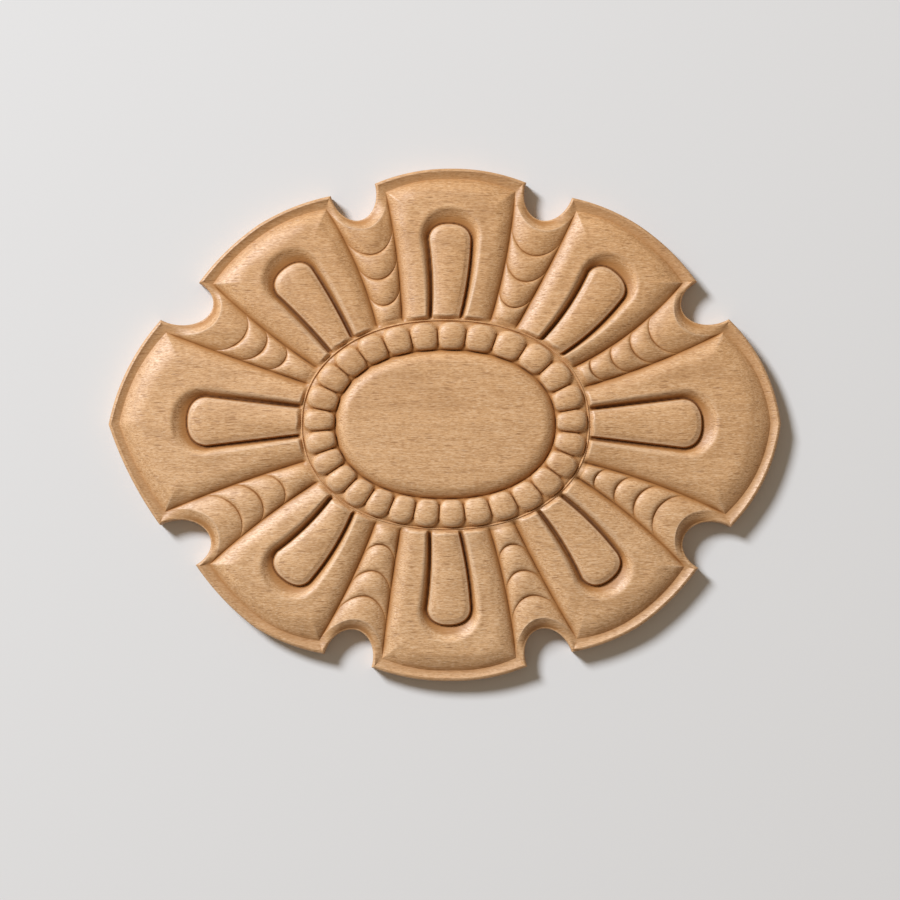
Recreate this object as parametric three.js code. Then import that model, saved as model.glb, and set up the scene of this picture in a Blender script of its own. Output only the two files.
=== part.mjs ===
import * as THREE from 'three';

// An oval rosette onlay, carved from one piece of beech. Lengths are in millimetres. The flat back lies
// on z = 0 with the centre of the oval at the origin, the carving faces +Z and the long axis is X.

// Overall size, over the tips of the petals
const onlayLength = 170;
const onlayWidth = 130;

// The outline's centre lies this far towards +Y from the ring's
const outlineShift = 0.3;

// Edge: a thin wall, an arris and a shallow hollow lip round each petal
const edgeHeight = 4.5;
const arrisRound = 0.75;
const lipWidth = 2.7;
const lipFootHeight = 3.9;
const cornerSetback = 2.3;

// Notches between the petals
const notchDepth = 8;
const notchBevel = 2.8;
const notchArris = 0.35;
const notchEdgeHeight = 4.3;

// The carving rises as a shallow dome. The heights of petals, channels, tongues, grooves and husks are
// given at the outline, and lie this much higher at the ring.
const domeRise = 1.8;

// Petals: a cushion round a channel, with a raised tongue in the channel
const petalHeight = 5.8;
const crestRise = 0.1;
const rimShoulder = 5.2;
const endShoulder = 6.5;
const legShoulder = 4.6;
const cornerShoulder = 8;
const channelHeight = 4.3;
const channelRootWidth = 1.5;
const channelSideWidth = 2.3;
const channelEndWidth = 4.1;
const tongueEnd = 0.82;
const tongueEndPower = 2.3;
const tongueHeight = 5.6;
const tongueCrown = 0.3;
const tongueWall = 0.4;

// Husks: bands of overlapping scales between the petals
const grooveHeight = 4.1;
const huskHeight = 5.9;
const scaleStep = 1;
const scaleNose = 0.4;
const scaleUndercut = 0.35;

// Ring of beads round the oval field
const ringLength = 72.8;
const ringWidth = 53.2;
const ringPower = 2.18;
const collarWidth = 1.1;
const collarHeight = 6.5;
const rimWidth = 0.6;
const rimHeight = 6.75;
const beadCount = 28;
const beadLength = 7.2;
const beadEndLength = 8;
const beadFloorHeight = 6.2;
const beadHeight = 8.4;
const cleftHeight = 7;
const firstBeadBearing = 83.5;
const fieldHeight = 8.4;
const fieldCrown = 0.3;
const fieldShoulder = 3.5;

// How finely each form is cut into flat faces
const legSteps = 10;
const rimSteps = 5;
const huskSteps = 10;
const beadSteps = 4;
const shoulderShares = [0, 0.3, 0.65, 1];

// The eight petals, anticlockwise from the +X end. Bearings are degrees about the centre, and a reach is a
// share of the distance from the centre to the ellipse of the onlay's length and width. Bulge is how far
// each half of the rim bows out, root where the grooves beside the petal meet the ring, bow how far those
// grooves bend towards the tongue, tongue the bearings of its root and tip, and bend how far its middle line
// bows anticlockwise. The half widths are the tongue's at its root and tip.
const petals = [
	{
		corners: [[-19.9, 0.938], [20.3, 0.938]], apex: [0, 0.998], bulge: [2.4, 2.6],
		root: [-15.4, 15.2], bow: [1, 0.9], tongue: [0.4, [0.3, 0.702]], bend: 0, halfWidths: [3.4, 6.1],
	},
	{
		corners: [[29.5, 0.932], [60.8, 0.961]], apex: [45.4, 0.966], bulge: [0.9, 0.9],
		root: [24.1, 54.1], bow: [-1.8, 0.4], tongue: [36.2, [41, 0.718]], bend: -0.8, halfWidths: [2.9, 5.3],
	},
	{
		corners: [[71.5, 0.973], [106.4, 0.962]], apex: [89, 0.998], bulge: [1, 1],
		root: [66.6, 112.1], bow: [-0.9, 0.7], tongue: [89.7, [88.6, 0.716]], bend: -0.5, halfWidths: [3.5, 5.3],
	},
	{
		corners: [[116.7, 0.954], [150.2, 0.918]], apex: [133.2, 0.957], bulge: [0.9, 0.9],
		root: [124.6, 156], bow: [-1.3, -0.8], tongue: [142.1, [136.5, 0.711]], bend: -0.3, halfWidths: [3, 5.4],
	},
	{
		corners: [[159.9, 0.94], [199.5, 0.935]], apex: [180.1, 1.002], bulge: [2, 1.1],
		root: [163.5, 194.7], bow: [0.2, 0.5], tongue: [178.7, [179.2, 0.707]], bend: 0, halfWidths: [3.4, 6.1],
	},
	{
		corners: [[209.5, 0.922], [242.2, 0.963]], apex: [227, 0.972], bulge: [0.9, 0.9],
		root: [204.2, 234.8], bow: [-0.7, -0.8], tongue: [218.4, [223, 0.705]], bend: 0.7, halfWidths: [3.1, 5.4],
	},
	{
		corners: [[253.1, 0.97], [288.6, 0.972]], apex: [271.4, 0.998], bulge: [1, 1],
		root: [246.9, 292.9], bow: [-0.2, -0.8], tongue: [269.9, [271.1, 0.708]], bend: 0.4, halfWidths: [3.5, 5.4],
	},
	{
		corners: [[299, 0.962], [330.3, 0.936]], apex: [313.9, 0.974], bulge: [0.9, 0.9],
		root: [304.9, 337.9], bow: [-0.4, -1.1], tongue: [322.8, [317.6, 0.71]], bend: 0.6, halfWidths: [3.1, 5.4],
	},
];

// The husk after each petal: how many scales have a free tip, where the first and last of those tips lie as
// shares of the way from the ring to the notch, and how deep a tip is for its half width
const husks = [
	{ scales: 4, first: 0.1, last: 0.72, roundness: 0.7 },
	{ scales: 3, first: 0.165, last: 0.735, roundness: 0.95 },
	{ scales: 3, first: 0.17, last: 0.72, roundness: 0.95 },
	{ scales: 3, first: 0.27, last: 0.71, roundness: 0.7 },
	{ scales: 3, first: 0.28, last: 0.76, roundness: 0.7 },
	{ scales: 3, first: 0.18, last: 0.74, roundness: 0.95 },
	{ scales: 3, first: 0.18, last: 0.745, roundness: 0.95 },
	{ scales: 4, first: 0.13, last: 0.765, roundness: 0.7 },
];

// The beads are spaced by eye. Each wave round the ring shifts them by up to this many degrees: how many times
// it goes up and down, its size and its start.
const beadWaves = [
	{ times: 1, size: 4.9, start: 58 },
	{ times: 2, size: 2.2, start: 10 },
	{ times: 3, size: 0.8, start: 132 },
];

const radians = THREE.MathUtils.degToRad;
const mix = THREE.MathUtils.lerp;

// The surface is gathered as shared points and the triangles between them
const points = [];
const triangles = [];

function addPoint(plan, z) {
	return points.push(new THREE.Vector3(plan.x, plan.y, z)) - 1;
}

function addTriangle(a, b, c) {
	if (a !== b && b !== c && c !== a) {
		triangles.push(a, b, c);
	}
}

// Two lines with the same number of points, both anticlockwise, the inner or upper one first
function bridge(inner, outer) {
	for (let i = 0; i + 1 < inner.length; i++) {
		const [a, b, c, d] = [inner[i], outer[i], outer[i + 1], inner[i + 1]];
		if (points[a].distanceTo(points[c]) <= points[b].distanceTo(points[d])) {
			addTriangle(a, b, c);
			addTriangle(a, c, d);
		} else {
			addTriangle(a, b, d);
			addTriangle(b, c, d);
		}
	}
}

function closed(line) {
	return [...line, line[0]];
}

// A closed line turned so that it starts at the first point past the +X axis, with each point's bearing
function startAtAxis(line) {
	const bearing = index => {
		const angle = Math.atan2(points[index].y, points[index].x);
		return angle < 0 ? angle + 2 * Math.PI : angle;
	};
	const bearings = line.map(bearing);
	const start = bearings.indexOf(Math.min(...bearings));
	const turned = [...line.slice(start), ...line.slice(0, start)];
	const angles = [...bearings.slice(start), ...bearings.slice(0, start)];
	return { line: closed(turned), angles: [...angles, angles[0] + 2 * Math.PI] };
}

// Two closed lines round the centre with different numbers of points
function stitch(innerLine, outerLine) {
	const inner = startAtAxis(innerLine);
	const outer = startAtAxis(outerLine);
	let i = 0;
	let j = 0;
	while (i + 1 < inner.line.length || j + 1 < outer.line.length) {
		const innerNext = inner.angles[i + 1] ?? Infinity;
		const outerNext = outer.angles[j + 1] ?? Infinity;
		if (outerNext <= innerNext) {
			addTriangle(inner.line[i], outer.line[j], outer.line[j + 1]);
			j++;
		} else {
			addTriangle(inner.line[i], outer.line[j], inner.line[i + 1]);
			i++;
		}
	}
}

// A point on the bearing, at a share of the way to an ellipse with these half axes
function onEllipse(bearing, halfLength, halfWidth, share = 1) {
	const direction = new THREE.Vector2(Math.cos(radians(bearing)), Math.sin(radians(bearing)));
	const reach = 1 / Math.hypot(direction.x / halfLength, direction.y / halfWidth);
	return direction.multiplyScalar(share * reach);
}

function onOutline([bearing, share]) {
	const plan = onEllipse(bearing, onlayLength / 2, onlayWidth / 2, share);
	plan.y += outlineShift;
	return plan;
}

// How far out a point lies compared with an oval that is a little squarer than an ellipse: 1 is on it
function ovalReach(plan, halfLength, halfWidth) {
	const sum = Math.abs(plan.x / halfLength) ** ringPower + Math.abs(plan.y / halfWidth) ** ringPower;
	return sum ** (1 / ringPower);
}

function collarReach(plan) {
	return ovalReach(plan, ringLength / 2 + collarWidth, ringWidth / 2 + collarWidth);
}

function onCollar(bearing) {
	const direction = new THREE.Vector2(Math.cos(radians(bearing)), Math.sin(radians(bearing)));
	return direction.divideScalar(collarReach(direction));
}

// A line that bows to its left, when bow is positive, by that much at its middle
function bowed(from, to, bow, share) {
	const along = to.clone().sub(from);
	const left = new THREE.Vector2(-along.y, along.x).normalize();
	return from.clone().addScaledVector(along, share).addScaledVector(left, 4 * bow * share * (1 - share));
}

// How far a rounded flank has risen at a share of its width
function roundOver(share) {
	return 1 - (1 - share) ** 2;
}

// The rise of the dome at a point of the plan: nothing at the outline and all of it at the ring
function domeAt(plan) {
	const reach = Math.hypot(2 * plan.x / onlayLength, 2 * plan.y / onlayWidth);
	const ringReach = (ringLength / onlayLength + ringWidth / onlayWidth) / 2;
	return domeRise * THREE.MathUtils.clamp((1 - reach) / (1 - ringReach), 0, 1);
}

// The layout of one petal in plan. Its start is the clockwise side and its end the other one.
function layOutPetal(petal) {
	const corners = petal.corners.map(onOutline);
	const apex = onOutline(petal.apex);
	const inward = apex.clone().normalize().multiplyScalar(-1);
	const footApex = apex.clone().addScaledVector(inward, lipWidth);
	const feet = corners.map((corner, side) => {
		const along = apex.clone().sub(corner).normalize();
		const across = side === 0 ? new THREE.Vector2(-along.y, along.x) : new THREE.Vector2(along.y, -along.x);
		return corner.clone().addScaledVector(along, cornerSetback).addScaledVector(across, lipWidth);
	});
	const roots = petal.root.map(onCollar);
	const groove = (side, share) => bowed(roots[side], feet[side], side === 0 ? petal.bow[0] : -petal.bow[1], share);
	const tongueRoot = onCollar(petal.tongue[0]);
	const [tipBearing, tipReach] = petal.tongue[1];
	const tongueTip = onEllipse(tipBearing, onlayLength / 2, onlayWidth / 2, tipReach);
	return { petal, corners, apex, footApex, feet, roots, groove, tongueRoot, tongueTip };
}

// A petal's rim from corner to corner through its apex, as the outer edge or as the foot of the lip
function rimLine(layout, ends, apex) {
	const line = [];
	for (let i = 0; i <= rimSteps; i++) {
		line.push(bowed(ends[0], apex, -layout.petal.bulge[0], i / rimSteps));
	}
	for (let i = 1; i <= rimSteps; i++) {
		line.push(bowed(apex, ends[1], -layout.petal.bulge[1], i / rimSteps));
	}
	return line;
}

// Where each row of a husk lies. A row runs from groove to groove as half an ellipse. Its place on the
// grooves is a share of their length, and its depth is how far its middle lies towards the ring.
function layOutHusk(husk, before, after) {
	const grooveAt = (side, share) => (side === 0 ? before.groove(1, share) : after.groove(0, share));
	const middle = share => grooveAt(0, share).add(grooveAt(1, share)).multiplyScalar(0.5);
	const halfWidth = share => grooveAt(0, share).distanceTo(grooveAt(1, share)) / 2;
	const axis = middle(1).sub(middle(0)).normalize();
	const length = middle(1).distanceTo(middle(0));
	const mouth = before.corners[1].clone().add(after.corners[0]).multiplyScalar(0.5);
	const notchEnd = mouth.clone().addScaledVector(axis, -notchDepth);
	const bevelDepth = middle(1).sub(notchEnd).dot(axis) + notchBevel;
	const ringMiddle = onCollar(THREE.MathUtils.radToDeg(Math.atan2(middle(0).y, middle(0).x)));
	const rows = [{ share: 0, depth: middle(0).sub(ringMiddle).dot(axis) }];
	for (let tip = 0; tip < husk.scales; tip++) {
		const along = mix(husk.first, husk.last, tip / (husk.scales - 1)) * (length - bevelDepth);
		const spread = halfWidth(1) - halfWidth(0);
		const share = (along + husk.roundness * halfWidth(0)) / (length - husk.roundness * spread);
		rows.push({ share, depth: husk.roundness * halfWidth(share) });
	}
	rows.push({ share: 1, depth: bevelDepth });
	return { rows, axis, length, grooveAt };
}

// A groove runs out onto the foot of the lip at its outer end
function grooveHeightAt(plan, share) {
	return mix(grooveHeight + domeAt(plan), lipFootHeight, THREE.MathUtils.smoothstep(share, 0.8, 1));
}

// The height of a husk's crest between two free tips, from under the outer tip (0) to its own tip (1)
function crestOfScale(share) {
	return huskHeight - scaleStep * (1 - share) ** 2 - scaleNose * share ** 3;
}

// Rows of a husk from the ring to the notch bevel, each with its place, depth and crest height. At each
// free tip there are two: the foot of the step, a little nearer the ring, and the tip's own edge.
function huskRows(layout) {
	const zones = layout.rows.length - 1;
	const rows = [];
	for (let zone = 0; zone < zones; zone++) {
		const from = layout.rows[zone];
		const to = layout.rows[zone + 1];
		const steps = Math.round((zone + 1) * legSteps / zones) - Math.round(zone * legSteps / zones);
		const isLast = zone === zones - 1;
		for (let i = 0; i <= steps; i++) {
			const share = mix(from.share, to.share, i / steps);
			const undercut = i === steps && !isLast ? scaleUndercut : 0;
			const crest = isLast ? crestOfScale(1 - 0.55 * i / steps) : crestOfScale(1 - i / steps);
			rows.push({ share, depth: mix(from.depth, to.depth, i / steps) + undercut, crest });
		}
	}
	return rows;
}

const petalLayouts = petals.map(layOutPetal);
const huskLayouts = husks.map((husk, i) => layOutHusk(husk, petalLayouts[i], petalLayouts[(i + 1) % petals.length]));
const huskRowLists = huskLayouts.map(huskRows);

// The groove points on each side of a husk, with one point for both rows at a free tip
function groovePoints(rows, layout, side) {
	const indices = [];
	let previous = null;
	for (const row of rows) {
		if (previous === null || row.share > previous.share + 1e-9) {
			const plan = layout.grooveAt(side, row.share);
			indices.push(addPoint(plan, grooveHeightAt(plan, row.share)));
		} else {
			indices.push(indices[indices.length - 1]);
		}
		previous = row;
	}
	return indices;
}

function buildHusk(index) {
	const layout = huskLayouts[index];
	const rows = huskRowLists[index];
	const sides = [0, 1].map(side => groovePoints(rows, layout, side));
	const lines = rows.map((row, r) => {
		const line = [sides[0][r]];
		for (let i = 1; i < huskSteps; i++) {
			const angle = Math.PI * (i / huskSteps - 0.5);
			const share = row.share - row.depth * Math.cos(angle) / layout.length;
			const across = (1 + Math.sin(angle)) / 2;
			const plan = layout.grooveAt(0, share).lerp(layout.grooveAt(1, share), across);
			const rise = Math.cos(angle) ** 1.6;
			line.push(addPoint(plan, mix(grooveHeightAt(plan, share), row.crest + domeAt(plan), rise)));
		}
		line.push(sides[1][r]);
		return line;
	});
	for (let r = 0; r + 1 < lines.length; r++) {
		bridge(lines[r], lines[r + 1]);
	}
	return { sides: sides.map(side => [...new Set(side)]), ringLine: lines[0], bevelLine: lines[lines.length - 1] };
}

const builtHusks = husks.map((husk, index) => buildHusk(index));

// How far a line that starts inside the collar's oval runs along a direction before it leaves the oval
function leaveCollar(start, direction) {
	let inside = 0;
	let outside = onlayLength;
	for (let i = 0; i < 40; i++) {
		const middle = (inside + outside) / 2;
		if (collarReach(start.clone().addScaledVector(direction, middle)) < 1) {
			inside = middle;
		} else {
			outside = middle;
		}
	}
	return inside;
}

// The lines of a petal, nested round its tongue. Each column starts on the tongue's outline and runs out
// square to it, to the groove beside the petal or to the foot of the lip.
function buildPetal(index) {
	const layout = petalLayouts[index];
	const { tongueRoot, tongueTip } = layout;
	const [rootHalf, tipHalf] = layout.petal.halfWidths;
	const axis = tongueTip.clone().sub(tongueRoot);
	const tongueLength = axis.length();
	axis.normalize();
	const left = new THREE.Vector2(-axis.y, axis.x);
	const grooves = [builtHusks[(index + petals.length - 1) % petals.length].sides[1], builtHusks[index].sides[0]];
	const planOf = pointIndex => new THREE.Vector2(points[pointIndex].x, points[pointIndex].y);

	const middleOfTongue = share => bowed(tongueRoot, tongueTip, layout.petal.bend, share);
	const beyondSides = along => along >= tongueLength;
	const onTongue = (plan, lateral, along) => {
		if (!beyondSides(along)) {
			const half = lateral * mix(rootHalf, tipHalf, along / tongueLength);
			return middleOfTongue(along / tongueLength).addScaledVector(left, half);
		}
		const direction = plan.clone().sub(tongueTip).normalize();
		const forward = Math.abs(direction.dot(axis)) / (tongueEnd * tipHalf);
		const across = Math.abs(direction.dot(left)) / tipHalf;
		const reach = (forward ** tongueEndPower + across ** tongueEndPower) ** (-1 / tongueEndPower);
		return tongueTip.clone().addScaledVector(direction, reach);
	};

	const columns = [];
	const spine = [];
	const spineSteps = Math.round(0.6 * legSteps);
	for (let i = 0; i <= legSteps; i++) {
		const plan = middleOfTongue(Math.min(1, i / spineSteps));
		spine.push(addPoint(plan, tongueHeight + tongueCrown + domeAt(plan)));
		if (i > spineSteps) {
			spine[i] = spine[spineSteps];
		}
	}
	const legColumn = (end, i) => {
		const lateral = end === 0 ? -1 : 1;
		const outer = grooves[end][i];
		const plan = planOf(outer);
		const firstAlong = planOf(grooves[end][0]).sub(tongueRoot).dot(axis);
		const sideStart = tongueRoot.clone().addScaledVector(left, lateral * rootHalf).addScaledVector(axis, -tongueLength / 2);
		const rootAlong = leaveCollar(sideStart, axis) - tongueLength / 2;
		const easing = (1 - i / legSteps) ** 2;
		const along = plan.clone().sub(tongueRoot).dot(axis) + (rootAlong - firstAlong) * easing;
		const shoulder = i === legSteps ? cornerShoulder : legShoulder;
		const side = mix(channelRootWidth, channelSideWidth, THREE.MathUtils.clamp(along / tongueLength, 0, 1));
		return { spine: spine[i], tongue: onTongue(plan, lateral, along), outer, shoulder, side, atTip: beyondSides(along) };
	};
	for (let i = 0; i <= legSteps; i++) {
		columns.push(legColumn(0, i));
	}
	const foot = rimLine(layout, layout.feet, layout.footApex).slice(1, -1);
	const footIndices = foot.map(plan => addPoint(plan, lipFootHeight));
	foot.forEach((plan, i) => {
		const tongue = onTongue(plan, 0, Infinity);
		const shoulder = mix(rimShoulder, endShoulder, axis.x ** 2);
		columns.push({ spine: spine[legSteps], tongue, outer: footIndices[i], shoulder, side: channelSideWidth, atTip: true });
	});
	for (let i = legSteps; i >= 0; i--) {
		columns.push(legColumn(1, i));
	}

	const lines = { spine: [], top: [], foot: [], slope: [], crest: [], shoulder: shoulderShares.map(() => []) };
	for (const column of columns) {
		const outerPlan = planOf(column.outer);
		const run = outerPlan.clone().sub(column.tongue);
		const length = run.length();
		run.normalize();
		const towardsTip = Math.max(0, column.tongue.clone().sub(tongueTip).normalize().dot(axis));
		const isEnd = column.atTip ? towardsTip ** 1.5 : 0;
		const channel = mix(column.side, channelEndWidth, isEnd);
		const squeeze = Math.min(1, 0.95 * length / (channel + column.shoulder));
		const outerRise = points[column.outer].z - domeAt(outerPlan);
		const at = (distance, height) => {
			const plan = column.tongue.clone().addScaledVector(run, distance);
			return addPoint(plan, height + domeAt(plan));
		};
		lines.spine.push(column.spine);
		lines.top.push(at(-tongueWall, tongueHeight));
		lines.foot.push(at(tongueWall, channelHeight));
		lines.slope.push(at(mix(tongueWall, channel * squeeze, 0.55), mix(channelHeight, petalHeight, mix(0.7, 0.4, isEnd))));
		lines.crest.push(at(channel * squeeze, petalHeight + crestRise));
		shoulderShares.forEach((share, i) => {
			const distance = length - share * column.shoulder * squeeze;
			const height = mix(outerRise, petalHeight, roundOver(share));
			lines.shoulder[i].push(share === 0 ? column.outer : at(distance, height));
		});
	}
	const nested = [lines.spine, lines.top, lines.foot, lines.slope, lines.crest, ...lines.shoulder.reverse()];
	for (let i = 0; i + 1 < nested.length; i++) {
		bridge(nested[i], nested[i + 1]);
	}
	const startLine = nested.map(line => line[0]).reverse();
	const endLine = nested.map(line => line[line.length - 1]);
	const footLine = [grooves[0][legSteps], ...footIndices, grooves[1][legSteps]];
	return { ringLine: [...startLine, ...endLine.slice(1)], footLine };
}

const builtPetals = petals.map((petal, index) => buildPetal(index));

// The outer edge: the lip round each petal, the bevel in each notch, the arris, the wall and the back
function buildEdge() {
	const inner = [];
	const edge = [];
	petalLayouts.forEach((layout, index) => {
		const next = petalLayouts[(index + 1) % petals.length];
		const rim = rimLine(layout, layout.corners, layout.apex);
		inner.push(...builtPetals[index].footLine);
		edge.push(...rim.map(plan => ({ plan, height: edgeHeight, round: arrisRound })));
		const husk = huskLayouts[index];
		const bevelLine = builtHusks[index].bevelLine;
		const middle = layout.corners[1].clone().add(next.corners[0]).multiplyScalar(0.5);
		const half = next.corners[0].clone().sub(layout.corners[1]).multiplyScalar(0.5);
		for (let i = 1; i < huskSteps; i++) {
			const angle = Math.PI * (i / huskSteps - 0.5);
			const plan = middle.clone().addScaledVector(half, Math.sin(angle));
			plan.addScaledVector(husk.axis, -notchDepth * Math.cos(angle));
			inner.push(bevelLine[i]);
			const inNotch = Math.cos(angle);
			const height = mix(edgeHeight, notchEdgeHeight, inNotch);
			edge.push({ plan, height, round: mix(arrisRound, notchArris, inNotch) });
		}
	});
	const inset = edge.map((point, i) => {
		const before = edge[(i + edge.length - 1) % edge.length].plan;
		const after = edge[(i + 1) % edge.length].plan;
		const along = after.clone().sub(before).normalize();
		return point.plan.clone().add(new THREE.Vector2(-along.y, along.x).multiplyScalar(point.round));
	});
	const arris = inset.map((plan, i) => addPoint(plan, edge[i].height));
	const wallTop = edge.map(point => addPoint(point.plan, point.height - point.round));
	const wallFoot = edge.map(point => addPoint(point.plan, 0));
	bridge(closed(inner), closed(arris));
	bridge(closed(arris), closed(wallTop));
	bridge(closed(wallTop), closed(wallFoot));
	return wallFoot;
}

// The back is flat: one face in the middle and a band from there to the outline
function buildBack(outline) {
	const middle = [-30, 90, 210].map(bearing => addPoint(onEllipse(bearing, ringLength / 4, ringWidth / 4), 0));
	const firstNew = triangles.length;
	stitch(middle, outline);
	addTriangle(...middle);
	for (let i = firstNew; i < triangles.length; i += 3) {
		[triangles[i + 1], triangles[i + 2]] = [triangles[i + 2], triangles[i + 1]];
	}
}

// A bead's middle, in degrees round the ellipse of the beads
function beadBearing(bead) {
	const even = firstBeadBearing + bead * 360 / beadCount;
	return beadWaves.reduce((sum, wave) => sum + wave.size * Math.sin(radians(wave.times * even - wave.start)), even);
}

// The turn, in radians for each millimetre outwards, that keeps the clefts between the beads square to the ring
function leanAt(angle) {
	const across = ringLength / 2 * Math.sin(angle);
	const along = ringWidth / 2 * Math.cos(angle);
	return (ringLength - ringWidth) / 2 * Math.sin(angle) * Math.cos(angle) / (across ** 2 + along ** 2);
}

// A closed line round the oval. The beads are longer at its ends than at its sides.
function ringLoop(inset, height) {
	const line = [];
	const longer = (beadEndLength - beadLength) * THREE.MathUtils.clamp((inset - rimWidth) / beadLength, 0, 1);
	const halfLength = ringLength / 2 - inset - longer;
	const halfWidth = ringWidth / 2 - inset;
	for (let i = 0; i < beadCount * beadSteps; i++) {
		const middle = radians(beadBearing(i / beadSteps - 0.5));
		const outwards = rimWidth + beadLength / 2 - Math.min(inset, rimWidth + beadLength);
		const angle = middle + leanAt(middle) * outwards;
		const plan = new THREE.Vector2(halfLength * Math.cos(angle), halfWidth * Math.sin(angle));
		plan.divideScalar(ovalReach(plan, halfLength, halfWidth));
		line.push(addPoint(plan, height(i)));
	}
	return line;
}

function pillow(share) {
	return (1 - Math.abs(share) ** 2.6) ** 0.5;
}

// The ring from the collar inwards: a fine rim, the beads and the raised oval field
function buildRing(collar) {
	const fieldInset = rimWidth + beadLength;
	const loops = [];
	loops.push(ringLoop(0, () => collarHeight));
	loops.push(ringLoop(rimWidth * 0.35, () => rimHeight));
	loops.push(ringLoop(rimWidth * 0.8, () => rimHeight));
	for (let row = 0; row <= beadSteps; row++) {
		const across = 2 * row / beadSteps - 1;
		const height = i => {
			const along = 2 * (i % beadSteps) / beadSteps - 1;
			const cleft = mix(beadFloorHeight, cleftHeight, pillow(across));
			return mix(cleft, beadHeight, pillow(across) * pillow(along));
		};
		loops.push(ringLoop(mix(rimWidth, fieldInset, row / beadSteps), height));
	}
	for (const share of [0.25, 0.6, 1]) {
		const height = mix(beadFloorHeight, fieldHeight, roundOver(share));
		loops.push(ringLoop(fieldInset + share * fieldShoulder, () => height));
	}
	stitch(loops[0], collar);
	for (let i = 0; i + 1 < loops.length; i++) {
		bridge(closed(loops[i + 1]), closed(loops[i]));
	}
	const centre = addPoint(new THREE.Vector2(0, 0), fieldHeight + fieldCrown);
	const rim = closed(loops[loops.length - 1]);
	for (let i = 0; i + 1 < rim.length; i++) {
		addTriangle(centre, rim[i], rim[i + 1]);
	}
}

// Each ring line starts where the one before it ended, so its first point is left out
const collar = [];
builtPetals.forEach((petal, index) => {
	collar.push(...petal.ringLine.slice(1), ...builtHusks[index].ringLine.slice(1));
});
buildRing(collar);
buildBack(buildEdge());

const geometry = new THREE.BufferGeometry();
geometry.setAttribute('position', new THREE.Float32BufferAttribute(points.flatMap(point => point.toArray()), 3));
geometry.setIndex(triangles);
geometry.computeVertexNormals();

const beech = new THREE.MeshStandardMaterial({ color: 0xd6b28a, roughness: 0.55, metalness: 0 });
const onlay = new THREE.Mesh(geometry, beech);
onlay.name = 'rosette_onlay';

const group = new THREE.Group();
group.name = 'rosette';
group.add(onlay);

export default group;
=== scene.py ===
import math

import bmesh
import bpy
import numpy as np
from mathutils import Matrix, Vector, noise
from mathutils.bvhtree import BVHTree


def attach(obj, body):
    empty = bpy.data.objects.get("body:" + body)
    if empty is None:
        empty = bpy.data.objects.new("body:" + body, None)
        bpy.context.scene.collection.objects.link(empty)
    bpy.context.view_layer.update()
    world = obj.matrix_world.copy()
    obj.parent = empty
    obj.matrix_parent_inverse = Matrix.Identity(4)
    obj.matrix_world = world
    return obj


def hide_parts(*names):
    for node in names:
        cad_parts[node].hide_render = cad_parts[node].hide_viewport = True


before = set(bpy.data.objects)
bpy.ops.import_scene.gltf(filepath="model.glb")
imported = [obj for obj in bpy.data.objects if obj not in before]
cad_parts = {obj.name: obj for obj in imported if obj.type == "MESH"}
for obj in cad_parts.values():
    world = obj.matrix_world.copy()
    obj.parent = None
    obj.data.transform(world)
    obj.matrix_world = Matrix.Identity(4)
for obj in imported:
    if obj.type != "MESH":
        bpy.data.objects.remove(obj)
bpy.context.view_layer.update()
bpy.ops.object.select_all(action="DESELECT")

# Husks between the petals
# Each husk is a narrow band of overlapping scales, carved in the solid from the ring of beads to a round
# notch. A parting tool cuts the groove on each side, and one gouge cut makes each rounded tip.

# The onlay's sizes are in millimetres, and its bearings are in degrees from +X towards +Y
MM = 0.001
onlay_length = 170.0
onlay_width = 130.0
outline_shift = 0.3
ring_length = 72.8
ring_width = 53.2
ring_power = 2.18
collar_width = 1.1
dome_rise = 1.8
lip_width = 2.7
lip_foot_height = 3.9
corner_setback = 2.3
notch_depth = 8.0
notch_bevel = 2.8
groove_height = 4.1
groove_runout = 0.2
husk_height = 5.9
husk_roundness = 1.6
scale_step = 1.0
scale_nose = 0.8
scale_undercut = 0.2
nose_power = 4.5
last_scale_fall = 0.55
leg_steps = 54
husk_columns = 28

# A scale dips under the next one partly in an even curve and partly in a steep one at its very end
steep_dip_power = 12
steep_dip_share = 0.7

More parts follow.
